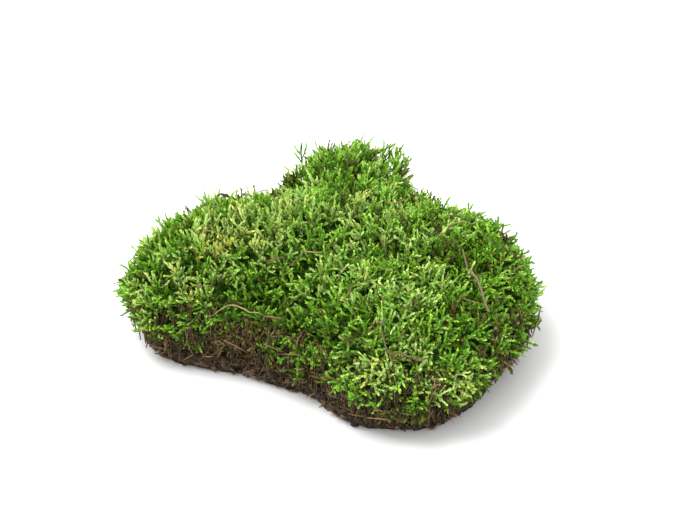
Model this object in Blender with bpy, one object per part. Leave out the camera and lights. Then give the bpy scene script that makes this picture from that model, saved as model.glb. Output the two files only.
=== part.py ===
"""A clump of turf moss as it was picked, standing on its flat cut underside.

The clump is one cushion of moss on a thin layer of litter, with a few dry stalks, straws and twigs that
lie loose among the tips. The cushion's solid reaches the tips of the shoots. Units are metres, +Z is up,
and the origin is on the flat underside, at the middle of the cushion's plan.
"""

import math

import bpy
import numpy as np

# Driving dimensions
CUSHION_TOP = 0.070  # height of the highest shoot tips above the surface it stands on
LITTER_THICKNESS = 0.010  # humus, needles and dead stems matted under the moss
WIDEST_HEIGHT = 0.027  # where the mossy edge bulges out furthest
UNDERCUT = 0.90  # plan size of the cushion's foot, as a share of its widest outline
SHOULDER_WIDTH = 0.060  # from the widest outline in to where the crown stops rising
SHOULDER_POWER = 2.3  # 2 is a quarter ellipse, and higher is a flatter top with a tighter shoulder
GAP = 0.0003  # between pieces that touch

# Mesh resolution
RIM_SPAN_STEPS = 32  # points on the outline between two of its given points
AROUND = 72  # points around the clump
TOP_RINGS = 15  # rings from the crown to the widest outline
SIDE_RINGS = 5  # rings from the widest outline down to the foot
SHARP_ANGLE = math.radians(50)  # edges sharper than this are shaded as edges
CREST_SEARCH = np.linspace(-0.06, 0.06, 61)  # x and y at which the highest tips are looked for

# The clump's outline in plan, counter-clockwise from its back lobe, before it is centred
OUTLINE = (
    (0.079, 0.044),
    (0.050, 0.058),
    (0.016, 0.071),
    (-0.022, 0.093),
    (-0.060, 0.092),
    (-0.085, 0.064),
    (-0.073, 0.022),
    (-0.070, -0.022),
    (-0.076, -0.058),
    (-0.054, -0.092),
    (-0.006, -0.099),
    (0.034, -0.091),
    (0.064, -0.058),
    (0.066, -0.016),
    (0.077, 0.016),
)

# Mounds (+) and hollows (-) on the crown: x, y, height, spread
MOUNDS = (
    (-0.044, 0.050, 0.0095, 0.028),
    (-0.004, 0.012, 0.0100, 0.032),
    (0.054, 0.036, 0.0090, 0.017),
    (0.026, -0.050, 0.0080, 0.027),
    (-0.040, -0.050, 0.0065, 0.025),
    (-0.060, 0.006, -0.0085, 0.017),
    (0.024, 0.044, -0.0060, 0.012),
    (-0.010, -0.030, -0.0045, 0.014),
    (0.052, -0.012, -0.0055, 0.014),
)
RIPPLE = 0.0011  # height of the small lumps that clusters of shoots make
RIPPLE_WAVE = 2 * math.pi / 0.022  # small lumps 22 mm apart
PLAIN_RISE = 0.028  # of the crown above the rim, with no mounds

# The litter, as shares of the cushion's foot and of its own thickness
LITTER_PROFILE = ((0.975, 1.0), (1.0, 0.55), (0.965, 0.0))
LITTER_WAVES = ((9, 0.012, 0.0), (14, 0.009, 1.0))  # waves round its ragged edge, their depth and phase

# Loose pieces: name, material, thickness at the middle, and how far each end stands off the moss
LOOSE_PIECES = (
    ("dry_stalk_right", "dry_stalk", 0.0013, (0.0020, 0.0045)),
    ("straw_right", "dry_straw", 0.0010, (0.0030, 0.0010)),
    ("straw_front_left", "dry_straw", 0.0010, (0.0010, 0.0030)),
    ("twig_back_left", "twig_bark", 0.0014, (0.0010, 0.0030)),
    ("twig_back_right", "twig_bark", 0.0011, (0.0030, 0.0010)),
    ("twig_front", "twig_bark", 0.0012, (0.0010, 0.0030)),
)
LOOSE_ROUTES = {  # in plan
    "dry_stalk_right": ((0.013, -0.058), (0.002, -0.070), (-0.012, -0.088)),
    "straw_right": ((0.010, -0.038), (0.024, -0.043), (0.037, -0.052)),
    "straw_front_left": ((-0.072, 0.036), (-0.063, 0.024), (-0.060, 0.009)),
    "twig_back_left": ((-0.021, 0.076), (-0.006, 0.066), (0.014, 0.064)),
    "twig_back_right": ((0.010, 0.051), (0.019, 0.038), (0.036, 0.031)),
    "twig_front": ((-0.050, -0.048), (-0.058, -0.062), (-0.053, -0.078)),
}
LOOSE_STEPS = 9  # points along each loose piece
LOOSE_TAPER = 0.55  # thickness of a pointed end, as a share of the middle
LOOSE_SWELL = 0.15  # share of a loose piece's length over which its first end swells to full thickness
LOOSE_LIFT = 0.0007  # keeps the straight facets between ring points clear of a loose piece

# Materials: colour and roughness
FINISHES = {
    "moss_green": ((0.190, 0.310, 0.040), 0.85),
    "litter": ((0.075, 0.048, 0.026), 0.95),
    "dry_stalk": ((0.24, 0.16, 0.08), 0.75),
    "dry_straw": ((0.42, 0.31, 0.15), 0.7),
    "twig_bark": ((0.12, 0.075, 0.045), 0.8),
}


def clear_scene():
    for old in list(bpy.data.objects):
        bpy.data.objects.remove(old, do_unlink=True)


def finish(slot, node):
    """A material of the node's own, with the slot's colour and roughness."""
    colour, roughness = FINISHES[slot]
    material = bpy.data.materials.new(node + "_surface")
    material.use_nodes = True
    shader = material.node_tree.nodes["Principled BSDF"]
    shader.inputs["Base Color"].default_value = (*colour, 1.0)
    shader.inputs["Roughness"].default_value = roughness
    shader.inputs["Metallic"].default_value = 0.0
    return material


def catmull_rom(before, start, end, after, t):
    """A point between start and end on a smooth curve through all four."""
    return 0.5 * (
        2 * start
        + (end - before) * t
        + (2 * before - 5 * start + 4 * end - after) * t**2
        + (3 * start - before - 3 * end + after) * t**3
    )


def closed_curve(points, steps):
    """steps points on each span of a smooth closed curve through points, moved to centre its box."""
    corners = np.array(points)
    count = len(corners)
    curve = []
    for i in range(count):
        around = [corners[(i + k) % count] for k in (-1, 0, 1, 2)]
        curve += [catmull_rom(*around, t) for t in np.linspace(0, 1, steps, endpoint=False)]
    curve = np.array(curve)
    return curve - (curve.min(axis=0) + curve.max(axis=0)) / 2


RIM = closed_curve(OUTLINE, RIM_SPAN_STEPS)
RIM_STEPS = np.linalg.norm(np.roll(RIM, -1, axis=0) - RIM, axis=1)


def rim_radius(angles):
    """Distance from the middle to the widest outline, in directions given in radians."""
    directions = np.arctan2(RIM[:, 1], RIM[:, 0])
    return np.interp(angles, directions, np.hypot(RIM[:, 0], RIM[:, 1]), period=2 * math.pi)


def rim_distance(x, y):
    """Distance in plan from a point to the rim, rounded off where two sides are equally near.

    It sums the inverse sixth powers of the distances along the rim. Beside a straight rim that sum is
    3/8 pi over the fifth power of the distance.
    """
    gaps = np.hypot(x[..., None] - RIM[:, 0], y[..., None] - RIM[:, 1])
    nearness = (RIM_STEPS / np.maximum(gaps, GAP) ** 6).sum(axis=-1)
    return (3 / 8 * math.pi / nearness) ** (1 / 5)


def crown_rise(x, y):
    """How far the shoot tips stand above the widest outline, before the crown is scaled to its height."""
    inward = np.clip(1 - rim_distance(x, y) / SHOULDER_WIDTH, 0.0, 1.0)
    lumps = np.sin(RIPPLE_WAVE * (x + 0.4 * y)) * np.sin(RIPPLE_WAVE * (0.9 * y - 0.3 * x))
    rise = PLAIN_RISE + RIPPLE * lumps
    for middle_x, middle_y, height, spread in MOUNDS:
        rise = rise + height * np.exp(-((x - middle_x) ** 2 + (y - middle_y) ** 2) / (2 * spread**2))
    return rise * (1 - inward**SHOULDER_POWER) ** (1 / SHOULDER_POWER)


def crown_height(x, y):
    """Height of the shoot tips over points in plan, inside the outline."""
    return WIDEST_HEIGHT + CROWN_SCALE * crown_rise(np.asarray(x, dtype=float), np.asarray(y, dtype=float))


def crown_scale():
    """The factor that brings the highest tips to CUSHION_TOP."""
    highest = crown_rise(*np.meshgrid(CREST_SEARCH, CREST_SEARCH)).max()
    return (CUSHION_TOP - WIDEST_HEIGHT) / highest


CROWN_SCALE = crown_scale()
ANGLES = np.linspace(0, 2 * math.pi, AROUND, endpoint=False)


def mesh_object(name, vertices, faces, slot):
    mesh = bpy.data.meshes.new(name)
    mesh.from_pydata([tuple(map(float, v)) for v in vertices], [], faces)
    mesh.materials.append(finish(slot, name))
    mesh.shade_smooth()
    mesh.set_sharp_from_angle(angle=SHARP_ANGLE)
    mesh.validate()
    piece = bpy.data.objects.new(name, mesh)
    bpy.context.scene.collection.objects.link(piece)
    return piece


def ring_of(share, radii, height):
    """Points round the clump at a share of the given radii. height is a level, or a function of x and y."""
    x, y = share * radii * np.cos(ANGLES), share * radii * np.sin(ANGLES)
    return np.column_stack([x, y, height(x, y) if callable(height) else np.full(AROUND, height)])


def ring_faces(rings):
    """Quads that join rings of points, each ring outside or below the one before."""
    faces = []
    for ring in range(rings - 1):
        upper, lower = ring * AROUND, (ring + 1) * AROUND
        for i in range(AROUND):
            j = (i + 1) % AROUND
            faces.append((upper + i, lower + i, lower + j, upper + j))
    return faces


def flat_foot(rings):
    """The face that closes the last ring from below."""
    last = (rings - 1) * AROUND
    return tuple(last + i for i in reversed(range(AROUND)))


def make_cushion():
    """The moss, out to the tips of its shoots: a lumpy dome that overhangs its foot."""
    radii = rim_radius(ANGLES)
    rings = []
    for ring in range(1, TOP_RINGS):
        share = math.sin(ring / TOP_RINGS * math.pi / 2)  # closer together towards the shoulder
        rings.append(ring_of(share, radii, crown_height))
    foot = LITTER_THICKNESS + GAP
    for ring in range(SIDE_RINGS + 1):
        turn = ring / SIDE_RINGS * math.pi / 2
        share = UNDERCUT + (1 - UNDERCUT) * math.cos(turn)
        rings.append(ring_of(share, radii, WIDEST_HEIGHT + (foot - WIDEST_HEIGHT) * math.sin(turn)))
    vertices = np.vstack([*rings, [[0, 0, float(crown_height(0.0, 0.0))]]])
    crown = len(vertices) - 1
    faces = ring_faces(len(rings))
    faces += [(crown, i, (i + 1) % AROUND) for i in range(AROUND)]
    faces.append(flat_foot(len(rings)))
    return mesh_object("moss_cushion", vertices, faces, "moss_green")


def make_litter():
    """The mat of humus, needles and dead stems under the moss, cut flat below."""
    ragged = 1 + sum(depth * np.sin(waves * ANGLES + phase) for waves, depth, phase in LITTER_WAVES)
    radii = rim_radius(ANGLES) * UNDERCUT * ragged
    rings = [ring_of(share, radii, level * LITTER_THICKNESS) for share, level in LITTER_PROFILE]
    faces = ring_faces(len(rings))
    faces.append(tuple(range(AROUND)))
    faces.append(flat_foot(len(rings)))
    return mesh_object("litter_layer", np.vstack(rings), faces, "litter")


def make_loose_piece(name, slot, thickness, ends_off):
    """A thin round piece bent over the crown, clear of the tips, with each end standing off them."""
    corners = np.array(LOOSE_ROUTES[name])
    spans = np.array([2 * corners[0] - corners[1], *corners, 2 * corners[-1] - corners[-2]])
    curve = bpy.data.curves.new(name, "CURVE")
    curve.dimensions = "3D"
    curve.bevel_depth = thickness / 2
    curve.bevel_resolution = 2
    curve.use_fill_caps = True
    spline = curve.splines.new("POLY")
    spline.points.add(LOOSE_STEPS - 1)
    for step, point in enumerate(spline.points):
        along = step / (LOOSE_STEPS - 1)
        span = min(int(along * (len(corners) - 1)), len(corners) - 2)
        x, y = catmull_rom(*spans[span : span + 4], along * (len(corners) - 1) - span)
        off = ends_off[0] * (1 - along) ** 3 + ends_off[1] * along**3
        z = clear_height(x, y, thickness / 2 + GAP) + LOOSE_LIFT + off
        point.co = (x, y, z, 1.0)
        point.radius = LOOSE_TAPER + (1 - LOOSE_TAPER) * math.sin(math.pi / 2 * min(along / LOOSE_SWELL, 1.0))
    curve.materials.append(finish(slot, name))
    piece = bpy.data.objects.new(name, curve)
    bpy.context.scene.collection.objects.link(piece)
    return piece


def clear_height(x, y, distance):
    """Height at which a point over the crown is distance away from it, square to the slope."""
    step = 0.001
    rise_x = (crown_height(x + step, y) - crown_height(x - step, y)) / (2 * step)
    rise_y = (crown_height(x, y + step) - crown_height(x, y - step)) / (2 * step)
    return float(crown_height(x, y) + distance * math.sqrt(1 + rise_x**2 + rise_y**2))


def main():
    clear_scene()
    make_litter()
    make_cushion()
    for piece in LOOSE_PIECES:
        make_loose_piece(*piece)


main()
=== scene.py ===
"""The finish of a clump of turf moss: leafy shoots, brown stems, litter and the dry pieces caught in it.

It is laid out as an add-on and run as a script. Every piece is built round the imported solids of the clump,
in metres. The moss grows from the surface of the solid moss_cushion, which reaches the tips of the shoots.
"""

import math

import bmesh
import bpy
import numpy as np
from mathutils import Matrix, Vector, noise


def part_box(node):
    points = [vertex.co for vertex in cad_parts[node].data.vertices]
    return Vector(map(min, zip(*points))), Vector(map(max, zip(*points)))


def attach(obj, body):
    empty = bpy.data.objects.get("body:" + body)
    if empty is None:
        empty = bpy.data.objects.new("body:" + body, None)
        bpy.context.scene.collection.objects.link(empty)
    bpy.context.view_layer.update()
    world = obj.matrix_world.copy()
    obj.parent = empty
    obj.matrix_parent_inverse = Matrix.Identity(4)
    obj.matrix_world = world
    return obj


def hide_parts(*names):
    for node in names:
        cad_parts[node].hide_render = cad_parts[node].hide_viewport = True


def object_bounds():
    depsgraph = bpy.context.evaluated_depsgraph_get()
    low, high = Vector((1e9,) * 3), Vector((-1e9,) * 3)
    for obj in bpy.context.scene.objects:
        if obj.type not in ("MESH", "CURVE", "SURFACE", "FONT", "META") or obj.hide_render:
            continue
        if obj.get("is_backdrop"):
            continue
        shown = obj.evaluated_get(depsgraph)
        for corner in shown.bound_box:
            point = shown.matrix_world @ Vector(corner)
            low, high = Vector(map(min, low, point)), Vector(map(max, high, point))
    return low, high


bl_info = {
    "name": "Moss Clump Finish",
    "version": (1, 0, 0),
    "blender": (4, 5, 0),
    "location": "3D View > Sidebar > Moss Clump",
    "description": "Grows the shoots, stems and litter of a moss clump round its solids",
    "category": "Add Mesh",
}

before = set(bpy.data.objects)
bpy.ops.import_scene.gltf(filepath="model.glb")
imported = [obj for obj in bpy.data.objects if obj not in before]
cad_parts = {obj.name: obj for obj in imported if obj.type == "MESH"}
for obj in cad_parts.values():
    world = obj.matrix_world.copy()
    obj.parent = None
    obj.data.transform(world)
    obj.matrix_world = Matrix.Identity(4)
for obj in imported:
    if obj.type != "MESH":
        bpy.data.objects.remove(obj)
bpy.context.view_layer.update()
MOSS_LOW, MOSS_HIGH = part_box("moss_cushion")
LITTER_LOW, LITTER_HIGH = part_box("litter_layer")
PLAN_MIDDLE = (MOSS_LOW + MOSS_HIGH) / 2
PLAN_REACH = (MOSS_HIGH - MOSS_LOW) / 2
BODY = "root"

GOLDEN_ANGLE = math.pi * (3 - math.sqrt(5))  # between one leaf and the next round a stem
LEAF_MAP = "OFBake"  # the UV map that the leaf colours are read from
SHADE_STEP = 0.006  # width of a leaf in that map
SIDE_SECTORS = 5  # pieces that the shoots round the clump's sides are shared among
CROWN_SHARE = 0.48  # of the plan's reach that the crown's piece covers
STEM_RADIUS = 0.00030  # of a shoot's main stem
BRANCH_RADIUS = 0.00020  # of its side branches
BROWN_BELOW = 0.36  # share of the moss's height that old brown stems show up to
LEAF_OUTLINES = {3: (0.75, 1.0, 0.0), 4: (0.62, 1.0, 0.72, 0.0)}  # widths from base to tip, by their number
LEAF_TONES = {  # places of the leaf colours along the leaf map's shades
    "dead": 0.0, "olive": 0.22, "deep": 0.37, "moss": 0.47, "cool": 0.56,
    "mid": 0.65, "bright": 0.74, "fresh": 0.84, "yellow": 1.0,
}
TONE_PLACES = (0.36, 0.50, 0.64)  # of the dark, middle and light tones in a patchy noise
CROWN_TONE_RISE = (0.15, 0.45)  # shares of the moss's height that the crown's tones fade in between

# Patches of the crown: x and y as shares of the plan's reach, radius in metres,
# shade shift (browner - or yellower +), brush (0 star-shaped tips, 1 upright tufts), extra height in metres
PATCHES = (
    (-0.62, 0.42, 0.022, 0.16, 0.9, 0.000),
    (-0.30, 0.62, 0.026, 0.04, 0.9, 0.001),
    (0.10, 0.22, 0.026, 0.07, 0.8, 0.001),
    (0.64, 0.40, 0.024, -0.06, 1.0, 0.003),
    (-0.12, -0.12, 0.018, 0.08, 0.2, 0.000),
    (0.50, -0.62, 0.030, -0.07, 0.1, 0.000),
    (-0.50, -0.55, 0.030, -0.01, 0.0, 0.000),
    (-0.84, 0.20, 0.014, -0.42, 0.3, -0.003),
    (-0.74, -0.20, 0.012, -0.22, 0.2, -0.002),
    (0.22, 0.60, 0.013, -0.35, 0.4, -0.003),
    (0.70, 0.62, 0.0075, 0.04, 1.0, 0.0075),
    (0.86, 0.20, 0.0050, 0.02, 1.0, 0.0045),
)


# ---------------------------------------------------------------- sizes and colours


def number(name, default, text, **options):
    return bpy.props.FloatProperty(name=name, description=text, default=default, **options)


def length(name, default, text):
    return number(name, default, text, min=0.0, precision=4, unit="LENGTH")


def whole(name, default, text, least=0):
    return bpy.props.IntProperty(name=name, description=text, default=default, min=least)


def colour(name, default, text):
    return bpy.props.FloatVectorProperty(
        name=name, description=text, default=default, size=3, min=0.0, max=1.0, subtype="COLOR"
    )


class MossShootSettings(bpy.types.PropertyGroup):
    spacing: length("Shoot spacing", 0.00345, "Least distance between two shoot tips")
    reach: length("Shoot length", 0.017, "Length of a shoot from the brown stems to its tip")
    leaf_length: length("Leaf length", 0.0017, "Length of a full-grown leaf on a curly shoot")
    leaf_width: length("Leaf width", 0.0010, "Width of a leaf at its widest")
    leaves: whole("Leaves", 34, "Leaves on one main stem", least=8)
    branches: whole("Branches", 4, "Side branches on one shoot")
    branch_leaves: whole("Branch leaves", 15, "Leaves on one side branch", least=4)
    dead_leaf: colour("Dead leaf", (0.105, 0.070, 0.028), "Old brown leaves low in the clump")
    olive_leaf: colour("Olive leaf", (0.135, 0.170, 0.022), "Leaves that have begun to brown")
    deep_leaf: colour("Deep green leaf", (0.066, 0.225, 0.020), "The darkest living leaves, a cool green")
    moss_leaf: colour("Moss green leaf", (0.160, 0.305, 0.008), "Warm green between deep and main green")
    cool_leaf: colour("Cool green leaf", (0.170, 0.410, 0.052), "The cooler half of the clump's main green")
    mid_leaf: colour("Green leaf", (0.285, 0.445, 0.030), "The warmer half of the clump's main green")
    bright_leaf: colour("Bright leaf", (0.320, 0.520, 0.145), "Cool new leaves near the tips")
    fresh_leaf: colour("Fresh leaf", (0.440, 0.545, 0.165), "Warm new leaves at the tips")
    yellow_leaf: colour("Yellow leaf", (0.560, 0.580, 0.130), "The palest yellow-green tips")


class LitterSettings(bpy.types.PropertyGroup):
    depth: length("Depth under the tips", 0.0120, "From the tips down to the mass of stems under the crown")
    needles: whole("Needles", 1100, "Needles in the litter, at most")
    needle_length: length("Needle length", 0.013, "Length of a conifer needle in the litter")
    humus_dark: colour("Dark humus", (0.016, 0.010, 0.006), "Wet humus between the crumbs")
    humus_light: colour("Light humus", (0.115, 0.072, 0.038), "Dry crumbs of humus")
    # Painted shade: the darkest tone of the stem tangle under the crown stands in for shade between the stems
    stem_dark: colour("Dark stems", (0.018, 0.042, 0.003), "Shade between the old stems")
    stem_brown: colour("Brown stems", (0.120, 0.085, 0.036), "Old moss stems")
    stem_olive: colour("Olive stems", (0.080, 0.190, 0.010), "Half-green stems just under the tips")
    needle_brown: colour("Brown needle", (0.190, 0.118, 0.048), "Fallen needles and dead stems")
    needle_tan: colour("Tan needle", (0.400, 0.270, 0.130), "Bleached needles and grass")


class DryPieceSettings(bpy.types.PropertyGroup):
    straw: colour("Straw", (0.400, 0.310, 0.140), "Dry grass blades")
    stalk: colour("Dry stalk", (0.240, 0.170, 0.078), "The brown dry stalk")
    bark_light: colour("Light bark", (0.200, 0.148, 0.078), "Worn bark of the twigs")
    bark_dark: colour("Dark bark", (0.055, 0.038, 0.018), "Cracks in the bark of the twigs")
    blade_width: length("Straw width", 0.0011, "Width of a dry grass blade")


class StageSettings(bpy.types.PropertyGroup):
    floor: colour("Floor", (0.88, 0.88, 0.88), "The plain pale floor")
    azimuth: number("Azimuth", math.radians(-57.4), "How far the camera stands round", subtype="ANGLE")
    elevation: number("Elevation", math.radians(36.5), "How far the camera looks down", subtype="ANGLE")
    distance: length("Distance", 1.65, "From the camera to the middle of the clump")
    lens: number("Lens", 172.0, "Focal length in millimetres", min=1.0)
    sky: number("Sky", 1.25, "Strength of the even white light", min=0.0)
    lamp: number("Lamp", 18.0, "Power of the large soft lamp overhead", min=0.0, unit="POWER")


# ---------------------------------------------------------------- geometry


class Batch:
    """Many small shapes gathered into one mesh, with one UV for each point."""

    def __init__(self):
        self.points, self.uvs, self.quads, self.tris, self.count = [], [], [], [], 0

    def add(self, points, uvs, quads=None, tris=None):
        points = np.asarray(points, dtype=float).reshape(-1, 3)
        self.points.append(points)
        self.uvs.append(np.asarray(uvs, dtype=float).reshape(-1, 2))
        if quads is not None:
            self.quads.append(np.asarray(quads, dtype=np.int64).reshape(-1, 4) + self.count)
        if tris is not None:
            self.tris.append(np.asarray(tris, dtype=np.int64).reshape(-1, 3) + self.count)
        self.count += len(points)

    def object(self, name, material, leaf_map=True):
        """The mesh as a smooth-shaded object in the scene, with the leaf map if its material reads it."""
        points = np.vstack(self.points)
        uvs = np.vstack(self.uvs)
        corners = [faces.ravel() for faces in (*self.quads, *self.tris)]
        sizes = [np.full(len(faces), faces.shape[1]) for faces in (*self.quads, *self.tris)]
        corners, sizes = np.concatenate(corners), np.concatenate(sizes)
        mesh = bpy.data.meshes.new(name)
        mesh.vertices.add(len(points))
        mesh.vertices.foreach_set("co", points.astype(np.float32).ravel())
        mesh.loops.add(len(corners))
        mesh.loops.foreach_set("vertex_index", corners.astype(np.int32))
        mesh.polygons.add(len(sizes))
        mesh.polygons.foreach_set("loop_start", (np.cumsum(sizes) - sizes).astype(np.int32))
        if leaf_map:
            layer = mesh.uv_layers.new(name=LEAF_MAP)
            layer.data.foreach_set("uv", uvs[corners].astype(np.float32).ravel())
        mesh.update(calc_edges=True)
        mesh.validate()
        mesh.shade_smooth()
        mesh.materials.append(material)
        return link(bpy.data.objects.new(name, mesh))


def link(piece):
    bpy.context.scene.collection.objects.link(piece)
    return piece


def unit(vectors):
    return vectors / np.maximum(np.linalg.norm(vectors, axis=-1, keepdims=True), 1e-12)


def beside(axes):
    """Two directions square to each axis and to each other."""
    helper = np.where(np.abs(axes[:, 2:]) < 0.9, [[0.0, 0.0, 1.0]], [[1.0, 0.0, 0.0]])
    first = unit(np.cross(axes, helper))
    return first, np.cross(axes, first)


def square_to(axes, phase):
    """A direction square to each axis, turned round it by phase."""
    first, second = beside(axes)
    phase = np.reshape(phase, (-1, 1))
    return np.cos(phase) * first + np.sin(phase) * second


class Curves:
    """Quadratic curves that stems, branches and needles follow, with the shade and the shoot of each."""

    def __init__(self, start, middle, end, shade=None, owner=None):
        self.start, self.middle, self.end, self.shade, self.owner = start, middle, end, shade, owner

    def at(self, which, t):
        """A point on each of the curves named by which, at t from 0 to 1."""
        t, middle = t[:, None], self.middle[which]
        return (1 - t) ** 2 * self.start[which] + 2 * t * (1 - t) * middle + t**2 * self.end[which]

    def direction(self, which, t):
        t, middle = t[:, None], self.middle[which]
        return unit((1 - t) * (middle - self.start[which]) + t * (self.end[which] - middle))

    def paths(self, steps):
        """All of the curves as steps points each."""
        count = len(self.start)
        return np.stack([self.at(slice(None), np.full(count, t)) for t in np.linspace(0, 1, steps)], axis=1)


def add_blades(batch, root, axis, radial, size, shape, shade, ages, stations):
    """Leaves: curved pointed ribbons that leave a stem at root.

    size is (length, width). shape is (lean from the stem, curl, sideways curl, roll), in radians. ages is the
    leaf's span across the leaf map, from its base to its tip.
    """
    count = len(root)
    leaf_length, leaf_width = (value[:, None] for value in size)
    lean, curl, sideways, roll = (value[:, None] for value in shape)
    curl = np.where(np.abs(curl) < 1e-3, 1e-3, curl)
    along = np.linspace(0, 1, stations) ** 0.9
    turned = lean + curl * along
    up = leaf_length * (np.sin(turned) - np.sin(lean)) / curl
    out = leaf_length * (np.cos(lean) - np.cos(turned)) / curl
    across = leaf_length * sideways * along**2
    tangent = np.cross(axis, radial)
    middle = (
        root[:, None]
        + up[..., None] * axis[:, None]
        + out[..., None] * radial[:, None]
        + across[..., None] * tangent[:, None]
    )
    facing = np.cos(turned)[..., None] * radial[:, None] - np.sin(turned)[..., None] * axis[:, None]
    wide = np.cos(roll)[..., None] * tangent[:, None] + np.sin(roll)[..., None] * facing
    half = 0.5 * leaf_width * np.array(LEAF_OUTLINES[stations])
    left, right = middle - wide * half[..., None], middle + wide * half[..., None]
    points = np.concatenate([left[:, :-1], right[:, :-1], middle[:, -1:]], axis=1)
    age = ages[0][:, None] + (ages[1] - ages[0])[:, None] * along
    low, high = shade[:, None] - SHADE_STEP / 2, shade[:, None] + SHADE_STEP / 2
    u = np.concatenate([low + 0 * age[:, :-1], high + 0 * age[:, :-1], shade[:, None]], axis=1)
    v = np.concatenate([age[:, :-1], age[:, :-1], age[:, -1:]], axis=1)
    pairs, per_leaf = stations - 1, 2 * (stations - 1) + 1
    first = (np.arange(count) * per_leaf)[:, None]
    steps = np.arange(pairs - 1)
    quads = np.stack(
        [first + steps, first + pairs + steps, first + pairs + steps + 1, first + steps + 1], axis=-1
    )
    tips = np.stack([first + pairs - 1, first + 2 * pairs - 1, first + 2 * pairs], axis=-1)
    batch.add(points, np.stack([u, v], axis=-1), quads, tips)


def add_tubes(batch, paths, radii, shade, ages, sides=3):
    """Closed round pieces along paths of shape (count, steps, 3).

    radii has a value for each step, or for each step and side. ages is their span across the leaf map.
    """
    count, steps = radii.shape[:2]
    radii = np.broadcast_to(radii.reshape(count, steps, -1), (count, steps, sides))
    forward = unit(np.gradient(paths, axis=1))
    first, second = beside(forward.reshape(-1, 3))
    first, second = first.reshape(paths.shape), second.reshape(paths.shape)
    turn = np.arange(sides) / sides * 2 * math.pi
    ring = np.cos(turn)[:, None] * first[:, :, None] + np.sin(turn)[:, None] * second[:, :, None]
    points = paths[:, :, None] + radii[..., None] * ring
    spread = np.abs(np.arange(sides) / sides - 0.4) * SHADE_STEP * 1.6
    u = np.broadcast_to(shade[:, None, None] + spread, (count, steps, sides))
    v = np.broadcast_to(np.linspace(*ages, steps)[:, None], (count, steps, sides))
    base = (np.arange(count) * steps * sides)[:, None, None]
    row = (np.arange(steps - 1) * sides)[None, :, None]
    here, there = np.arange(sides), (np.arange(sides) + 1) % sides
    row = base + row
    quads = np.stack([row + here, row + there, row + sides + there, row + sides + here], axis=-1)
    ends = np.arange(1, sides - 1)
    last = (steps - 1) * sides
    base = base[:, :, 0]
    start_cap = np.stack([base + 0 * ends, base + ends + 1, base + ends], axis=-1)
    end_cap = np.stack([base + last + 0 * ends, base + last + ends, base + last + ends + 1], axis=-1)
    tris = np.concatenate([start_cap.reshape(-1, 3), end_cap.reshape(-1, 3)])
    batch.add(points, np.stack([u, v], axis=-1), quads, tris)


def add_tube(batch, path, radii, sides):
    """One closed round piece along a path, for a material that doesn't read the leaf map."""
    add_tubes(batch, path[None], radii[None], np.full(1, 0.5), (0.5, 0.5), sides)


def points_and_normals(mesh):
    """The mesh's points, then its normals at them, as arrays."""
    return (np.array([getattr(vertex, what) for vertex in mesh.vertices]) for what in ("co", "normal"))


class Surface:
    """The triangles of a CAD node, for growing things from it."""

    def __init__(self, node):
        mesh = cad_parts[node].data
        mesh.calc_loop_triangles()
        self.points, self.normals = points_and_normals(mesh)
        self.tris = np.array([t.vertices for t in mesh.loop_triangles])

    def scatter(self, spacing, seed, tries=60000):
        """Points at least spacing apart all over the surface, with its normal at each."""
        random = np.random.default_rng(seed)
        a, b, c = (self.points[self.tris[:, k]] for k in range(3))
        area = np.linalg.norm(np.cross(b - a, c - a), axis=1)
        chosen = random.choice(len(self.tris), tries, p=area / area.sum())
        first, second = random.random((2, tries, 1))
        flip = first + second > 1
        first, second = np.where(flip, 1 - first, first), np.where(flip, 1 - second, second)
        weights = (1 - first - second, first, second)
        spots = sum(w * self.points[self.tris[chosen, k]] for k, w in enumerate(weights))
        facing = unit(sum(w * self.normals[self.tris[chosen, k]] for k, w in enumerate(weights)))
        cells, kept = {}, []
        keys = np.floor(spots / spacing).astype(int)
        nearby = [(i, j, k) for i in (-1, 0, 1) for j in (-1, 0, 1) for k in (-1, 0, 1)]
        for index, (x, y, z) in enumerate(keys):
            around = (m for i, j, k in nearby for m in cells.get((x + i, y + j, z + k), ()))
            if all(np.dot(d := spots[index] - spots[m], d) > spacing**2 for m in around):
                cells.setdefault((x, y, z), []).append(index)
                kept.append(index)
        return spots[kept], facing[kept]


def drift(points, scale, offset):
    """A smooth random vector at each point, changing over about scale metres."""
    return np.stack([smooth_random(points, scale, offset + 50.0 * axis) for axis in range(3)], axis=1)


def smooth_random(points, scale, offset):
    """A smooth random number from about -0.7 to 0.7 at each point."""
    shift = Vector((offset, 2 * offset, -offset))
    return np.array([noise.noise(Vector(p) / scale + shift) for p in points])


def height_share(points):
    """How high each point stands in the moss: 0 at its foot, 1 at the highest tips."""
    return (points[:, 2] - MOSS_LOW.z) / (MOSS_HIGH.z - MOSS_LOW.z)


def patch_values(spots):
    """Shade shift, brush and extra height at each spot, from the patches of the crown."""
    shade, height = np.zeros(len(spots)), np.zeros(len(spots))
    brush, weight = np.full(len(spots), 0.35 * 0.3), np.full(len(spots), 0.3)
    for share_x, share_y, radius, shade_shift, patch_brush, extra in PATCHES:
        away = (spots[:, 0] - PLAN_MIDDLE.x - share_x * PLAN_REACH.x) ** 2
        away += (spots[:, 1] - PLAN_MIDDLE.y - share_y * PLAN_REACH.y) ** 2
        near = np.exp(-away / (2 * radius**2))
        shade += near * shade_shift
        height += near * extra
        brush += near * patch_brush
        weight += near
    return shade, brush / weight, height


def tip_lift(spots):
    """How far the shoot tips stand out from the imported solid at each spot: swells, tufts and patches."""
    swell = 0.0060 * np.clip(smooth_random(spots, 0.021, 11.0), -0.5, 0.4)
    tuft = 0.0050 * np.clip(smooth_random(spots, 0.011, 5.0), -0.5, 0.35)
    return swell + tuft + patch_values(spots)[2]


# ---------------------------------------------------------------- shoots


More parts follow.
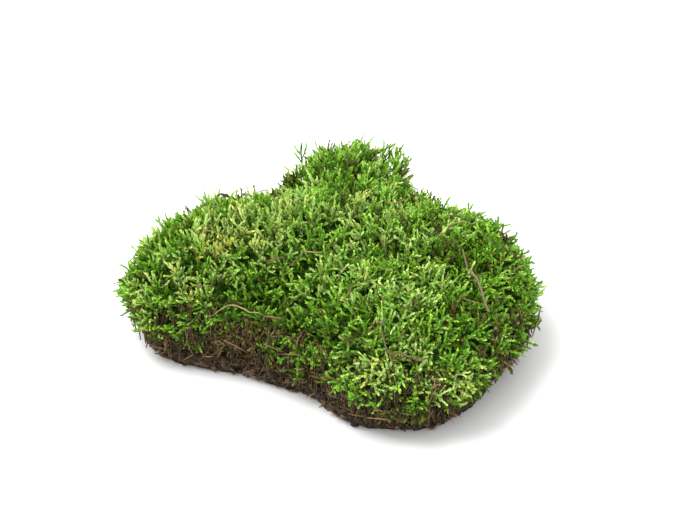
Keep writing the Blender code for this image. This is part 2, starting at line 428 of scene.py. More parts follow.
class Shoots:
    """Where every shoot of the clump stands, how it bends and what kind it is."""

    def __init__(self, settings):
        random = np.random.default_rng(7)
        spots, normals = Surface("moss_cushion").scatter(settings.spacing, 3)
        keep = (spots[:, 2] > MOSS_LOW.z + 0.0015) & (normals[:, 2] > -0.75)  # clear of the cut underside
        spots, normals = spots[keep], normals[keep]
        sparse = np.minimum(smooth_random(spots, 0.011, 5.0) + 0.18, 0)  # fewer shoots between the tufts
        keep = random.random(len(spots)) < 1.02 + 0.60 * sparse
        self.spots, self.normals = spots[keep], normals[keep]
        self.height = height_share(self.spots)
        self.shade, self.brush, extra = patch_values(self.spots)
        self.place_tips(extra, random)
        self.bend_stems(settings.reach, random)
        self.tone(random)

    def place_tips(self, extra, random):
        """Tips that stand unevenly off the solid, and point out, up, and with their neighbours."""
        spots, normals, count = self.spots, self.normals, len(self.spots)
        lift = tip_lift(spots) + np.clip(random.normal(0, 0.0012, count), -0.0020, 0.0018)
        lift += 1.3 * np.maximum(extra, 0) * random.random(count) ** 4
        lean = drift(spots, 0.016, 1.0) * [0.55, 0.55, 0.15] + drift(spots, 0.005, 9.0) * 0.30
        upright = np.where(self.height > 0.45, 0.62, 0.42) + 0.55 * np.maximum(-normals[:, 2], 0)
        stray = (0.34 - 0.20 * self.brush)[:, None] * random.normal(size=(count, 3))
        self.growth = unit(normals + np.outer(upright, [0.0, 0.0, 1.0]) + lean + stray)
        self.tip = spots + normals * (lift - 0.0012)[:, None]

    def bend_stems(self, reach, random):
        """Stems that bow to one side on their way down into the clump, and never out past its face."""
        count = len(self.spots)
        self.reach = reach * (1 + 0.12 * random.normal(size=count))
        hook = unit(drift(self.spots, 0.007, 13.0) + 0.45 * random.normal(size=(count, 3)))
        hook = unit(hook - self.growth * np.sum(hook * self.growth, axis=1)[:, None])
        bow = self.reach * random.uniform(0.18, 0.60, count) * (1.1 - 0.60 * self.brush)
        swing = -hook * bow[:, None]
        swing -= self.normals * np.maximum(np.sum(swing * self.normals, axis=1), 0)[:, None]
        self.middle = self.tip - self.growth * (self.reach * 0.42)[:, None] + swing
        self.middle[:, 2] = np.maximum(self.middle[:, 2], MOSS_LOW.z - 0.003)
        inward = self.growth * 0.35 + self.normals * 0.20
        self.foot = self.middle - inward * self.reach[:, None] - 0.4 * swing
        self.foot[:, 2] = np.maximum(self.foot[:, 2], MOSS_LOW.z + 0.001)

    def tone(self, random):
        """Shades that drift over the clump, with brown flecks, and browner and darker shoots low down."""
        count = len(self.spots)
        broad = smooth_random(self.spots, 0.030, 2.0) * 0.24 + smooth_random(self.spots, 0.009, 8.0) * 0.20
        fleck = 1.6 * np.clip(smooth_random(self.spots, 0.007, 17.0) - 0.20, 0, 0.3)
        self.shade += 0.66 + broad - fleck + 0.06 * random.normal(size=count)
        low = np.clip((0.34 - self.height) / 0.34, 0, 1)
        self.shade -= low * (0.25 + 0.45 * random.random(count))
        self.shade = np.clip(np.minimum(self.shade, 0.62 + self.height), 0.03, 0.97)

    def sector(self):
        """0 on the crown, and 1 to SIDE_SECTORS on the sides, by where round the clump a shoot stands."""
        around = np.arctan2(self.tip[:, 1], self.tip[:, 0]) / (2 * math.pi) % 1.0
        inner = np.hypot(self.tip[:, 0] / PLAN_REACH.x, self.tip[:, 1] / PLAN_REACH.y) < CROWN_SHARE
        return np.where(inner, 0, 1 + np.floor(around * SIDE_SECTORS).astype(int))


def side_branches(main, shoots, count, random):
    """count side branches on each main stem, spread round it, that rise beside its tip."""
    owner = np.repeat(np.arange(len(main.start)), count)
    order = np.tile(np.arange(count), len(main.start))
    t = 0.30 + 0.50 * (order + random.random(len(order))) / count
    start, axis = main.at(owner, t), main.direction(owner, t)
    radial = square_to(axis, order * GOLDEN_ANGLE + owner * 2.4 + random.normal(0, 0.4, len(order)))
    kind = shoots.brush[main.owner[owner]][:, None]
    reach = shoots.reach[main.owner[owner]][:, None] * random.uniform(0.26, 0.48, (len(order), 1))
    outward = unit(radial * (1.25 - 0.75 * kind) + axis * 0.75)
    middle = start + outward * reach * 0.5
    curl = unit(random.normal(size=axis.shape)) * (1.0 - 0.5 * kind)
    end = middle + unit(outward * 0.35 + axis * (0.50 + 0.4 * kind) + curl) * reach * 0.6
    shade = main.shade[owner] + random.normal(0, 0.070, len(order))
    dead = random.random(len(order)) < 0.05
    shade = np.where(dead, random.uniform(0.04, 0.32, len(order)), shade)
    return Curves(start, middle, end, np.clip(shade, 0.02, 0.98), main.owner[owner])


def clothe(batch, stems, shoots, settings, leaves, span, stations, random):
    """Leaves set in a spiral along each stem, shut like a bud at its tip and spreading below."""
    owner = np.repeat(np.arange(len(stems.start)), leaves)
    order = np.tile(np.arange(leaves), len(stems.start))
    share = (order + random.random(len(order))) / leaves
    t = span[1] + (span[0] - span[1]) * share
    root, axis = stems.at(owner, t), stems.direction(owner, t)
    radial = square_to(axis, order * GOLDEN_ANGLE + random.normal(0, 0.25, len(order)) + owner * 1.7)
    shoot = stems.owner[owner]
    kind = shoots.brush[shoot]
    bud = np.clip((t - 0.80) / 0.18, 0, 1)
    depth = np.sum((shoots.tip[shoot] - root) * shoots.normals[shoot], axis=1)  # below the shoot's tip
    count = len(t)
    lean = 0.46 - 0.12 * kind - 0.28 * bud + random.normal(0, 0.13, count)
    curl = -0.25 - 0.10 * kind - 0.20 * bud + random.normal(0, 0.30, count)
    long = settings.leaf_length * (1 + 0.35 * kind) * (1 - 0.34 * bud) * random.uniform(0.75, 1.2, count)
    wide = settings.leaf_width * (1 - 0.22 * kind) * random.uniform(0.8, 1.15, count)
    shape = (lean, curl, random.normal(0, 0.16, count), random.normal(0, 0.35, count))
    shade = stems.shade[owner] + random.normal(0, 0.045, count)
    old = np.clip(depth / 0.011, 0, 1)  # 1 on the leaves deep in the clump: older and browner, and given painted shade through their V below
    shade -= 0.12 * old * (shoots.height[shoot] < 0.8)
    dead = random.random(count) < 0.012 + 0.05 * old
    shade = np.where(dead, random.uniform(0.01, 0.2, count), shade)
    shade = np.clip(shade, SHADE_STEP, 1 - SHADE_STEP)
    fresh = np.clip((t - 0.50) / 0.40, 0, 1)
    # A leaf's V sets how light it is: paler new growth towards the tips, and painted shade on leaves deep
    # under the tips
    age_and_shade = 0.05 + 0.45 * fresh + 0.30 * (1 - old) + random.normal(0, 0.05, count)
    ages = (np.clip(age_and_shade, 0, 0.85), np.clip(age_and_shade + 0.22, 0.1, 1))
    add_blades(batch, root, axis, radial, (long, wide), shape, shade, ages, stations)


def grow_shoots(shoots, chosen, settings, name, seed, material):
    """One mesh of whole shoots: a thin stem with side branches, and the leaves on all of them."""
    random = np.random.default_rng(seed)
    batch = Batch()
    curves = (rows[chosen] for rows in (shoots.foot, shoots.middle, shoots.tip, shoots.shade))
    main = Curves(*curves, np.flatnonzero(chosen))
    sides = side_branches(main, shoots, settings.branches, random)
    for stems, steps, radius in ((main, 4, STEM_RADIUS), (sides, 3, BRANCH_RADIUS)):
        count = len(stems.start)
        radii = np.full((count, steps), radius) * np.linspace(1.0, 0.3, steps)
        shade = np.clip(0.10 + 0.4 * stems.shade, 0.02, 0.6)
        # V from 0.1 at the foot to 0.6 at the tip: darker low in the clump, partly painted shade
        add_tubes(batch, stems.paths(steps), radii, shade, (0.1, 0.6))
    upper = settings.leaves // 3
    clothe(batch, main, shoots, settings, upper, (0.72, 0.97), 4, random)
    clothe(batch, main, shoots, settings, settings.leaves - upper, (0.20, 0.74), 3, random)
    clothe(batch, sides, shoots, settings, settings.branch_leaves, (0.12, 0.97), 3, random)
    return batch.object(name, material)


# ---------------------------------------------------------------- stems and litter


def refined_copy(node, name):
    """A finer, smooth copy of a CAD node's mesh as a new object, with its points and normals as arrays."""
    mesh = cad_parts[node].data.copy()
    work = bmesh.new()
    work.from_mesh(mesh)
    bmesh.ops.remove_doubles(work, verts=work.verts, dist=1e-5)
    work.to_mesh(mesh)
    work.free()
    mesh.materials.clear()
    piece = link(bpy.data.objects.new(name, mesh))
    finer = piece.modifiers.new("finer", "SUBSURF")
    finer.levels = finer.render_levels = 1
    finer.subdivision_type = "SIMPLE"
    depsgraph = bpy.context.evaluated_depsgraph_get()
    piece.data = bpy.data.meshes.new_from_object(piece.evaluated_get(depsgraph))
    piece.data.name = name
    piece.modifiers.clear()
    piece.data.shade_smooth()
    return piece, *points_and_normals(piece.data)


def reshaped(piece, points, material):
    """The piece with its points moved and its material on."""
    piece.data.vertices.foreach_set("co", points.astype(np.float32).ravel())
    piece.data.update()
    piece.data.materials.append(material)
    return piece


def make_stem_mass(settings, material):
    """The tangle of stems that the shoots rise from: brown low down, green with painted shade between the
    stems under the crown.
    """
    piece, points, normals = refined_copy("moss_cushion", "stem_mass")
    height = np.clip(height_share(points), 0, 1)
    lumps = 0.0022 * smooth_random(points, 0.006, 3.0) + 0.0018 * smooth_random(points, 0.0028, 4.0)
    inward = settings.depth * (0.42 + 0.58 * np.clip(height / 0.55, 0, 1)) + lumps
    inward -= tip_lift(points) * np.clip(height / 0.30, 0, 1)
    moved = points - normals * inward[:, None]
    foot = height < 0.01
    moved[foot] = points[foot] * [0.93, 0.93, 1.0]
    moved[:, 2] = np.maximum(moved[:, 2], LITTER_HIGH.z - 0.0015)
    return reshaped(piece, moved, material)


def make_litter_mat(material):
    """The mat of humus under the moss, ragged at its edge and cut flat below."""
    piece, points, normals = refined_copy("litter_layer", "litter_mat")
    level = normals * [1.0, 1.0, 0.0]
    ragged = 0.0020 * smooth_random(points, 0.008, 6.0) + 0.0014 * smooth_random(points, 0.003, 7.0)
    edge = np.linalg.norm(level, axis=1)
    moved = points + unit(level + 1e-9) * (ragged * np.clip(edge * 2, 0, 1))[:, None]
    top = points[:, 2] > LITTER_LOW.z + 0.7 * (LITTER_HIGH.z - LITTER_LOW.z)
    moved[top, 2] += 0.0015 * smooth_random(points[top], 0.004, 8.0)
    return reshaped(piece, moved, material)


def make_old_stems(material):
    """Dead stems and leaves that show under the green edge, from the litter up into the moss."""
    random = np.random.default_rng(21)
    spots, normals = Surface("moss_cushion").scatter(0.0027, 22)
    keep = (height_share(spots) < BROWN_BELOW) & (spots[:, 2] > MOSS_LOW.z + 0.0005)
    spots, normals = spots[keep], normals[keep]
    count = len(spots)
    around = unit(np.cross(normals, [0.0, 0.0, 1.0]))
    rise = unit(around * random.normal(0, 0.42, (count, 1)) + [0.0, 0.0, 1.0] - normals * 0.10)
    half = random.uniform(0.006, 0.011, count)[:, None]
    middle = spots - normals * random.uniform(0.0016, 0.0050, (count, 1))
    start = middle - rise * half - normals * 0.0012
    end = middle + rise * half - normals * random.uniform(0.001, 0.005, (count, 1))
    start[:, 2] = np.maximum(start[:, 2], LITTER_LOW.z + random.uniform(0.003, 0.008, count))
    stems = Curves(start, middle, end)
    batch = Batch()
    paths = stems.paths(5)
    paths += random.normal(0, 0.00035, paths.shape)
    radii = np.full((count, 5), 0.00034) * random.uniform(0.7, 1.3, (count, 1))
    shade = np.clip(random.beta(1.6, 2.2, count), 0.01, 0.97)
    add_tubes(batch, paths, radii, shade, (0.15, 0.75))
    leaves = 13
    owner = np.repeat(np.arange(count), leaves)
    t = random.uniform(0.1, 1.0, len(owner))
    root, axis = stems.at(owner, t), stems.direction(owner, t)
    radial = square_to(axis, random.uniform(0, 2 * math.pi, len(owner)))
    size = (random.uniform(0.0022, 0.0046, len(owner)), random.uniform(0.0004, 0.0008, len(owner)))
    lean = random.uniform(0.25, 1.1, len(owner))
    shape = (lean, *(random.normal(0, spread, len(owner)) for spread in (0.6, 0.3, 0.6)))
    leaf_shade = np.clip(shade[owner] + random.normal(0, 0.12, len(owner)), 0.01, 0.98)
    low = random.uniform(0.0, 0.5, len(owner))
    add_blades(batch, root, axis, radial, size, shape, leaf_shade, (low, np.clip(low + 0.4, 0, 1)), 3)
    return batch.object("old_stems", material)


def make_needles(settings, material):
    """Needles, grass ends and bits of stem matted in the litter's edge and face, and a few on the crown."""
    random = np.random.default_rng(31)
    litter_spots, litter_normals = Surface("litter_layer").scatter(0.0042, 32)
    moss_spots, moss_normals = Surface("moss_cushion").scatter(0.0075, 33)
    rare = random.random(len(moss_spots)) < np.where(height_share(moss_spots) < 0.30, 0.85, 0.11)
    spots = np.vstack([litter_spots, moss_spots[rare]])
    normals = np.vstack([litter_normals, moss_normals[rare]])
    order = random.permutation(len(spots))[: settings.needles]
    spots, normals = spots[order], normals[order]
    count = len(spots)
    lie = square_to(normals, random.uniform(0, 2 * math.pi, count))
    lie = unit(lie * [1.0, 1.0, 0.45] + 0.10 * normals)
    sizes = settings.needle_length * random.uniform(0.45, 1.15, (count, 1))
    thick = random.uniform(0.00026, 0.00055, (count, 1))
    middle = spots + normals * 0.0004
    start, end = middle - lie * sizes / 2, middle + lie * sizes / 2
    middle = middle + 0.12 * sizes * random.normal(size=(count, 3))
    paths = Curves(start, middle, end).paths(5)
    paths[..., 2] = np.maximum(paths[..., 2], LITTER_LOW.z + thick)
    paths[..., :2] = np.clip(paths[..., :2], MOSS_LOW[:2], MOSS_HIGH[:2])
    radii = thick * np.array([0.6, 1.0, 1.0, 0.8, 0.25])
    batch = Batch()
    shade = np.clip(random.beta(1.5, 1.8, count), 0.01, 0.97)
    add_tubes(batch, paths, radii, shade, (0.1, 0.9), sides=4)
    return batch.object("needles", material)


def make_crumbs(material):
    """Crumbs of humus and bark that hang together round the litter's edge."""
    random = np.random.default_rng(41)
    spots, normals = Surface("litter_layer").scatter(0.0015, 42)
    edge = np.abs(normals[:, 2]) < 0.93
    spots, normals = spots[edge], normals[edge]
    count = len(spots)
    corners = np.array([[1, 0, 0], [0, 1, 0], [-1, 0, 0], [0, -1, 0], [0, 0, 1], [0, 0, -1]], dtype=float)
    faces = np.array([[0, 1, 4], [1, 2, 4], [2, 3, 4], [3, 0, 4], [1, 0, 5], [2, 1, 5], [3, 2, 5], [0, 3, 5]])
    turn = unit(random.normal(size=(count, 2, 3)))
    second = unit(np.cross(turn[:, 0], turn[:, 1]))
    axes = np.stack([turn[:, 0], second, np.cross(turn[:, 0], second)], axis=1)
    size = random.gamma(3.0, 0.00038, (count, 1, 1)) * random.uniform(0.6, 1.3, (count, 6, 1))
    points = spots[:, None] + np.einsum("kc,ncx->nkx", corners, axes) * np.clip(size, 0.0004, 0.0026)
    points[..., 2] = np.maximum(points[..., 2], LITTER_LOW.z)
    shade = np.clip(random.beta(1.2, 3.2, count), 0.01, 0.9)
    u = shade[:, None] + np.array([0, 1, 2, 1, 3, 0]) * SHADE_STEP
    v = random.uniform(0.1, 0.7, (count, 1)) + np.array([0.0, 0.1, 0.0, 0.15, 0.2, 0.05])
    batch = Batch()
    tris = (np.arange(count) * 6)[:, None, None] + faces
    batch.add(points, np.stack([u, v], axis=-1), tris=tris)
    return batch.object("humus_crumbs", material)


# ---------------------------------------------------------------- dry pieces on the moss


def centreline(node, steps):
    """steps points along the middle of a thin round CAD node, from one end to the other."""
    points = np.unique(np.round([v.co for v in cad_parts[node].data.vertices], 6), axis=0)
    middle = points.mean(axis=0)
    long_way = np.linalg.svd(points - middle)[2][0]
    order = np.argsort((points - middle) @ long_way)
    rings = np.array([points[part].mean(axis=0) for part in np.array_split(order, 9)])  # coarse stations
    at = np.linspace(0, len(rings) - 1, steps)
    return np.stack([np.interp(at, np.arange(len(rings)), rings[:, k]) for k in range(3)], axis=1)


def nested(path, depth, seed):
    """The path let down unevenly among the shoot tips, so that they cover parts of it."""
    share = np.linspace(0, 1, len(path))
    waver = smooth_random(np.outer(share, [0.05, 0.0, 0.0]), 0.012, seed)
    sunk = depth * (0.75 + 0.9 * waver) - tip_lift(path)
    return path - np.outer(sunk, [0.0, 0.0, 1.0])


def make_twig(node, thickness, seed, material):
    """A twig with rough bark, slight kinks and the stubs of side shoots."""
    random = np.random.default_rng(seed)
    steps, sides = 48, 10
    path = nested(centreline(node, steps), 0.0046, seed)
    wander = np.cumsum(random.normal(0, 0.00006, (steps, 3)), axis=0)
    path += wander - np.linspace(0, 1, steps)[:, None] * wander[-1]
    along = np.linspace(0, 1, steps)
    taper = 1 - 0.45 * along
    knots = sum(0.35 * np.exp(-(((along - at) / 0.018) ** 2)) for at in random.uniform(0.12, 0.9, 4))
    bark = 1 + 0.09 * random.normal(size=(steps, sides))
    radii = (thickness / 2 * (taper + knots))[:, None] * bark
    batch = Batch()
    add_tube(batch, path, radii, sides)
    for at in random.integers(6, steps - 6, 3):
        forward = unit(path[at + 1] - path[at])
        out = unit(np.cross(forward, random.normal(size=3)) + 0.6 * forward)
        stub = path[at] + np.outer(np.linspace(0, 1, 5), out * random.uniform(0.0018, 0.0042))
        add_tube(batch, stub, thickness * np.array([0.36, 0.28, 0.24, 0.22, 0.10])[:, None], 7)
    return batch.object(node + "_bark", material, leaf_map=False)


def make_stalk(node, thickness, seed, material):
    """A dry round stalk with fine ribs, a joint, and a frayed leaf sheath at the joint."""
    random = np.random.default_rng(seed)
    steps, sides = 56, 12
    path = nested(centreline(node, steps), 0.0032, seed)
    along = np.linspace(0, 1, steps)
    joint_at = 0.42
    joint = 0.45 * np.exp(-(((along - joint_at) / 0.012) ** 2))
    ribs = 1 + 0.07 * (np.arange(sides) % 2) + 0.03 * random.normal(size=(steps, sides))
    radii = (thickness / 2 * (1 - 0.35 * along + joint))[:, None] * ribs
    batch = Batch()
    add_tube(batch, path, radii, sides)
    sheath = int(joint_at * steps)
    axis = unit(path[sheath + 1] - path[sheath])[None].repeat(3, axis=0)
    radial = square_to(axis, np.array([0.3, 2.2, 4.4]))
    root = path[sheath] + radial * thickness * 0.5
    size = (np.array([0.008, 0.006, 0.0045]), np.full(3, 0.0011))
    shape = (np.array([0.25, 0.45, 0.3]), np.array([0.6, -0.4, 0.9]), np.array([0.2, -0.3, 0.1]), np.zeros(3))
    add_blades(batch, root, axis, radial, size, shape, np.full(3, 0.5), (np.full(3, 0.3), np.full(3, 0.8)), 4)
    return batch.object(node + "_stem", material, leaf_map=False)


def make_straw(node, width, depth, seed, material):
    """A dry grass blade: a long ribbon folded along its midrib and slowly twisted, with a frayed end."""
    random = np.random.default_rng(seed)
    steps = 60
    path = nested(centreline(node, steps), depth, seed)
    forward = unit(np.gradient(path, axis=0))
    flat = unit(np.cross(forward, [0.0, 0.0, 1.0]))
    up = np.cross(flat, forward)
    along = np.linspace(0, 1, steps)
    twist = 0.5 + random.uniform(1.2, 2.0) * along
    wide = np.cos(twist)[:, None] * flat + np.sin(twist)[:, None] * up
    face = np.cross(wide, forward)
    half = width / 2 * np.minimum(1, 0.55 + 2.5 * along) * (1 - 0.88 * along**3)
    sheet = []
    for across, lift in ((-1.0, 0.30), (-0.5, 0.10), (0.0, -0.16), (0.5, 0.10), (1.0, 0.30)):
        edge = across * half * (1 + 0.05 * random.normal(size=steps) * (abs(across) == 1))
        sheet.append(path + wide * edge[:, None] + face * (lift * half)[:, None])
    thickness = 0.00012
    top = np.stack(sheet, axis=1)
    below = top - face[:, None] * thickness
    ring = np.concatenate([top, below[:, ::-1]], axis=1)
    count = ring.shape[1]
    here, there = np.arange(count), (np.arange(count) + 1) % count
    row = (np.arange(steps - 1) * count)[:, None]
    quads = np.stack([row + here, row + there, row + count + there, row + count + here], axis=-1)
    inner = np.arange(4)
    caps = np.stack([inner, 9 - inner, 8 - inner, inner + 1], axis=-1)
    last = (steps - 1) * count
    batch = Batch()
    faces = np.vstack([quads.reshape(-1, 4), caps, last + caps[:, ::-1]])
    batch.add(ring, np.zeros((steps * count, 2)), faces)
    return batch.object(node + "_blade", material, leaf_map=False)


# ---------------------------------------------------------------- materials


def scaled(tint, factor):
    return tuple(min(1.0, channel * factor) for channel in tint)


class Finish:
    """A material under construction, with short ways to add and link its nodes."""

    def __init__(self, name, roughness, specular=0.5):
        self.material = bpy.data.materials.new(name)
        self.material.use_nodes = True
        self.tree = self.material.node_tree
        self.shader = self.tree.nodes["Principled BSDF"]
        self.feed(self.shader, {"Roughness": roughness, "Specular IOR Level": specular})

    def feed(self, node, inputs):
        """Links each of the node's inputs that is given a socket, and sets the others to their value."""
        for name, value in inputs.items():
            if isinstance(value, bpy.types.NodeSocket):
                self.tree.links.new(value, node.inputs[name])
            else:
                node.inputs[name].default_value = value

    def node(self, kind, inputs, **options):
        """A new node of a kind such as TexNoise."""
        node = self.tree.nodes.new("ShaderNode" + kind)
        for name, value in options.items():
            setattr(node, name, value)
        self.feed(node, inputs)
        return node

    def ramp(self, factor, stops):
        """A colour ramp over factor, with stops of (place, colour)."""
        node = self.node("ValToRGB", {"Fac": factor})
        while len(node.color_ramp.elements) < len(stops):
            node.color_ramp.elements.new(1.0)
        for element, (place, tint) in zip(node.color_ramp.elements, stops):
            element.position = place
            element.color = (*tint[:3], 1.0)
        return node.outputs["Color"]

    def blend(self, first, second, factor=1.0, mode="MIX"):
        mix = self.node("Mix", {"Factor": factor, "A": first, "B": second}, data_type="RGBA", blend_type=mode)
        return mix.outputs["Result"]

    def leaf_map(self):
        """The leaf map's UV, then its U and its V."""
        place = self.node("UVMap", {}, uv_map=LEAF_MAP).outputs["UV"]
        split = self.node("SeparateXYZ", {"Vector": place})
        return place, split.outputs["X"], split.outputs["Y"]

    def bump(self, height, strength, depth):
        bump = self.node("Bump", {"Strength": strength, "Distance": depth, "Height": height})
        self.feed(self.shader, {"Normal": bump.outputs["Normal"]})

    def coloured(self, tint):
        """The finished material, with tint as its colour."""
        self.feed(self.shader, {"Base Color": tint})
        return self.material


def leaf_material(settings):
    """Leaf colours from the leaf map: its U is the shade from dead to yellow, its V runs from a darker base
    to a lighter tip and is low on leaves deep in the clump, which paints shade on them.
    """
    finish = Finish("moss_leaf", roughness=0.45, specular=0.18)
    _, shade, age = finish.leaf_map()
    tones = [(place, getattr(settings, name + "_leaf")) for name, place in LEAF_TONES.items()]
    lights = (0.84, 1.55)  # lightness of a leaf's base and of its tip: partly paler new growth, partly painted shade on the darker base
    base, tip = (finish.ramp(shade, [(at, scaled(tint, light)) for at, tint in tones]) for light in lights)
    return finish.coloured(finish.blend(base, tip, age))


def fibre_material(name, stops):
    """Colours of thin dead things from the leaf map: U is the shade, V darkens one end, with mottles."""
    finish = Finish(name, roughness=0.75, specular=0.25)
    place, shade, age = finish.leaf_map()
    mottle = finish.node("TexNoise", {"Scale": 14.0, "Vector": place})
    darker = finish.node("Math", {0: age, 1: mottle.outputs["Fac"]}, operation="MULTIPLY")
    shades = finish.ramp(darker.outputs["Value"], [(0.0, (0.35,) * 3), (0.45, (1.2,) * 3)])
    return finish.coloured(finish.blend(finish.ramp(shade, stops), shades, mode="MULTIPLY"))


def ground_material(name, tones, scale, crown_tones=None):
    """Matted crumbs and fibres: patchy colour, painted shade in the cracks between the crumbs, and bumps from
    the fibres.

    tones are dark, middle and light. crown_tones take over from them higher up in the moss.
    """
    finish = Finish(name, roughness=0.9, specular=0.2)
    place = finish.node("TexCoord", {}).outputs["Object"]
    crumbs = finish.node("TexVoronoi", {"Scale": scale, "Vector": place})
    noise_inputs = {"Scale": scale * 0.7, "Detail": 6.0, "Distortion": 1.5, "Vector": place}
    fibres = finish.node("TexNoise", noise_inputs).outputs["Fac"]
    patchy = finish.ramp(fibres, tuple(zip(TONE_PLACES, tones)))
    if crown_tones:
        split = finish.node("SeparateXYZ", {"Vector": place})
        low, high = (MOSS_LOW.z + share * (MOSS_HIGH.z - MOSS_LOW.z) for share in CROWN_TONE_RISE)
        rise = finish.node("MapRange", {"Value": split.outputs["Z"], "From Min": low, "From Max": high})
        upper = finish.ramp(fibres, tuple(zip(TONE_PLACES, crown_tones)))
        patchy = finish.blend(patchy, upper, rise.outputs["Result"])
    # Painted shade: each crumb darkens towards the cracks around it
    crack_shade = finish.ramp(crumbs.outputs["Distance"], [(0.0, (1.0,) * 3), (0.75, (0.35,) * 3)])
    finish.bump(fibres, 0.8, 0.0012)
    return finish.coloured(finish.blend(patchy, crack_shade, mode="MULTIPLY"))


def dry_material(name, dark, light, scale, stretch, bump_depth, roughness):
    """Bark or straw: streaks that run along the piece, worn light on dark, with a fine matching bump."""
    finish = Finish(name, roughness, specular=0.3)
    place = finish.node("TexCoord", {}).outputs["Object"]
    squeeze = finish.node("Mapping", {"Scale": stretch, "Vector": place}).outputs["Vector"]
    noise_inputs = {"Scale": scale, "Detail": 5.0, "Roughness": 0.65, "Vector": squeeze}
    streaks = finish.node("TexNoise", noise_inputs).outputs["Fac"]
    finish.bump(streaks, 0.6, bump_depth)
    return finish.coloured(finish.ramp(streaks, [(0.34, dark), (0.62, light)]))


# ---------------------------------------------------------------- operators


def settle(piece, slot, *nodes):
    """Gives a finished piece its body and hides the CAD nodes that it stands for; slot is not used."""
    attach(piece, BODY)
    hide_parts(*nodes)


class MOSS_CLUMP_OT_stems(bpy.types.Operator):
    """Make the brown stems that the green shoots grow from"""

    bl_idname = "moss_clump.stems"
    bl_label = "Brown Stems"

    def execute(self, context):
        settings = context.scene.moss_litter
        brown = (scaled(settings.stem_brown, 0.2), scaled(settings.stem_brown, 0.5), settings.stem_brown)
        # The darkest olive tone is painted shade between the stems under the crown
        olive = (settings.stem_dark, scaled(settings.stem_olive, 0.7), scaled(settings.stem_olive, 1.7))
        mass = ground_material("stem_tangle", brown, 420.0, olive)
        settle(make_stem_mass(settings, mass), "moss_green", "moss_cushion")
        dead = fibre_material(
            "dead_stems",
            [
                (0.0, scaled(settings.stem_brown, 0.5)),
                (0.4, settings.stem_brown),
                (0.7, settings.needle_brown),
                (0.86, settings.needle_tan),
                (1.0, context.scene.moss_shoots.olive_leaf),
            ],
        )
        settle(make_old_stems(dead), "moss_green", "moss_cushion")
        return {"FINISHED"}


class MOSS_CLUMP_OT_litter(bpy.types.Operator):
    """Make the mat of humus, crumbs and needles under the moss"""

    bl_idname = "moss_clump.litter"
    bl_label = "Litter"

    def execute(self, context):
        settings = context.scene.moss_litter
        tones = (settings.humus_dark, scaled(settings.humus_light, 0.5), settings.humus_light)
        humus = ground_material("humus", tones, 520.0)
        settle(make_litter_mat(humus), "litter", "litter_layer")
        crumbs = fibre_material(
            "humus_crumb",
            [
                (0.0, scaled(settings.humus_dark, 2.0)),
                (0.6, settings.humus_light),
                (1.0, settings.needle_brown),
            ],
        )
        settle(make_crumbs(crumbs), "litter", "litter_layer")
        needles = fibre_material(
            "fallen_needles",
            [(0.0, settings.humus_light), (0.5, settings.needle_brown), (1.0, settings.needle_tan)],
        )
        settle(make_needles(settings, needles), "litter", "litter_layer")
        return {"FINISHED"}


class MOSS_CLUMP_OT_dry_pieces(bpy.types.Operator):
    """Lay the twigs, straws and dry stalk among the shoot tips"""

    bl_idname = "moss_clump.dry_pieces"
    bl_label = "Twigs, Straws and Stalk"

    def execute(self, context):
        settings = context.scene.moss_dry_pieces
        even = (1.0, 1.0, 1.0)
        bark = dry_material("twig_bark", settings.bark_dark, settings.bark_light, 900.0, even, 0.0003, 0.85)
        for node, thickness, seed in (
            ("twig_back_left", 0.0014, 51),
            ("twig_back_right", 0.0011, 52),
            ("twig_front", 0.0012, 53),
        ):
            settle(make_twig(node, thickness, seed, bark), "twig_bark", node)
        stalk = dry_material(
            "dry_stalk", scaled(settings.stalk, 0.45), settings.stalk, 700.0, (1.0, 0.25, 1.0), 0.0001, 0.6
        )
        settle(make_stalk("dry_stalk_right", 0.0012, 54, stalk), "dry_stalk", "dry_stalk_right")
        straw = dry_material(
            "dry_straw", scaled(settings.straw, 0.6), settings.straw, 600.0, (0.3, 1.0, 1.0), 0.0001, 0.55
        )
        for node, depth, seed in (("straw_right", 0.0040, 55), ("straw_front_left", 0.0054, 56)):
            settle(make_straw(node, settings.blade_width, depth, seed, straw), "dry_straw", node)
        return {"FINISHED"}


class MOSS_CLUMP_OT_shoots(bpy.types.Operator):
    """Grow the leafy shoots all over the clump"""

    bl_idname = "moss_clump.shoots"
    bl_label = "Leafy Shoots"

    def execute(self, context):
        settings = context.scene.moss_shoots
        shoots = Shoots(settings)
        material = leaf_material(settings)
        sectors = shoots.sector()
        names = ("shoots_crown", *(f"shoots_side_{number}" for number in range(1, SIDE_SECTORS + 1)))
        for number, name in enumerate(names):
            piece = grow_shoots(shoots, sectors == number, settings, name, 100 + number, material)
            settle(piece, "moss_green", "moss_cushion")
        return {"FINISHED"}


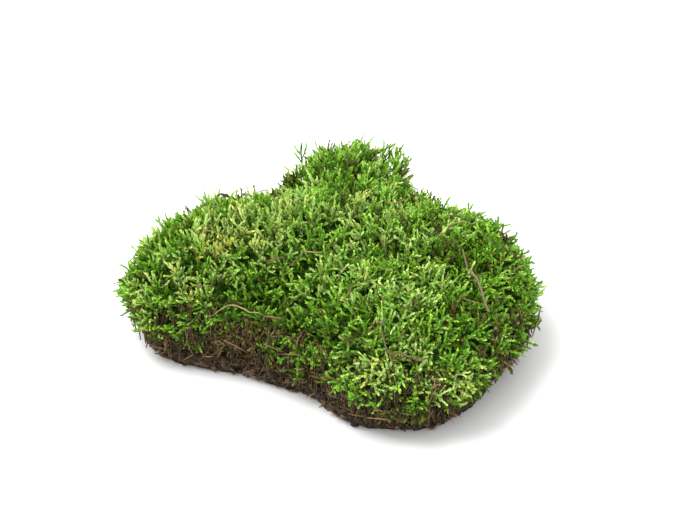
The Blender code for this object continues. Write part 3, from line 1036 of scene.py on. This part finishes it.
class MOSS_CLUMP_OT_stage(bpy.types.Operator):
    """Set out the floor, the soft light and the camera"""

    bl_idname = "moss_clump.stage"
    bl_label = "Floor, Light and Camera"

    def execute(self, context):
        settings = context.scene.moss_stage
        self.make_floor(settings)
        self.make_light(context.scene, settings)
        self.make_camera(context.scene, settings)
        return {"FINISHED"}

    def make_floor(self, settings):
        finish = Finish("floor_white", roughness=0.9)
        speckle = finish.node("TexNoise", {"Scale": 3.0})
        tones = [(0.0, scaled(settings.floor, 0.985)), (1.0, settings.floor)]
        bpy.ops.mesh.primitive_plane_add(size=6.0, location=(0, 0, -0.0004))
        floor = bpy.context.object
        floor.name = "floor"
        floor.data.materials.append(finish.coloured(finish.ramp(speckle.outputs["Fac"], tones)))
        floor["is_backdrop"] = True

    def make_light(self, scene, settings):
        world = bpy.data.worlds.new("soft_white")
        world.use_nodes = True
        background = world.node_tree.nodes["Background"]
        background.inputs["Color"].default_value = (1.0, 1.0, 1.0, 1.0)
        background.inputs["Strength"].default_value = settings.sky
        scene.world = world
        lamp = bpy.data.lights.new("soft_lamp", "AREA")
        lamp.shape = "DISK"
        lamp.size = 0.9
        lamp.energy = settings.lamp
        above = link(bpy.data.objects.new("soft_lamp", lamp))
        above.location = (-0.35, 0.45, 1.3)
        above.rotation_euler = (-above.location).to_track_quat("-Z", "Y").to_euler()
        scene.view_settings.view_transform = "Standard"

    def make_camera(self, scene, settings):
        low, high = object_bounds()
        target = (low + high) / 2
        back = Vector(
            (
                math.sin(settings.azimuth) * math.cos(settings.elevation),
                -math.cos(settings.azimuth) * math.cos(settings.elevation),
                math.sin(settings.elevation),
            )
        )
        camera = bpy.data.cameras.new("camera")
        camera.lens = settings.lens
        camera.clip_start = 0.05
        holder = link(bpy.data.objects.new("camera", camera))
        holder.location = target + back * settings.distance
        holder.rotation_euler = (-back).to_track_quat("-Z", "Y").to_euler()
        scene.camera = holder


class MOSS_CLUMP_PT_panel(bpy.types.Panel):
    """The clump's pieces, in the order that they are made"""

    bl_idname = "MOSS_CLUMP_PT_panel"
    bl_label = "Moss Clump"
    bl_space_type = "VIEW_3D"
    bl_region_type = "UI"
    bl_category = "Moss Clump"

    def draw(self, context):
        for name in STEPS:
            self.layout.operator("moss_clump." + name)


STEPS = ("shoots", "stems", "litter", "dry_pieces", "stage")
SETTINGS = {
    "moss_shoots": MossShootSettings,
    "moss_litter": LitterSettings,
    "moss_dry_pieces": DryPieceSettings,
    "moss_stage": StageSettings,
}
CLASSES = (
    *SETTINGS.values(),
    MOSS_CLUMP_OT_shoots,
    MOSS_CLUMP_OT_stems,
    MOSS_CLUMP_OT_litter,
    MOSS_CLUMP_OT_dry_pieces,
    MOSS_CLUMP_OT_stage,
    MOSS_CLUMP_PT_panel,
)


def register():
    for item in CLASSES:
        bpy.utils.register_class(item)
    for name, group in SETTINGS.items():
        setattr(bpy.types.Scene, name, bpy.props.PointerProperty(type=group))


def unregister():
    for name in SETTINGS:
        delattr(bpy.types.Scene, name)
    for item in reversed(CLASSES):
        bpy.utils.unregister_class(item)


def main():
    register()
    for name in STEPS:
        getattr(bpy.ops.moss_clump, name)()
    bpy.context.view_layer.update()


if __name__ == "__main__":
    main()
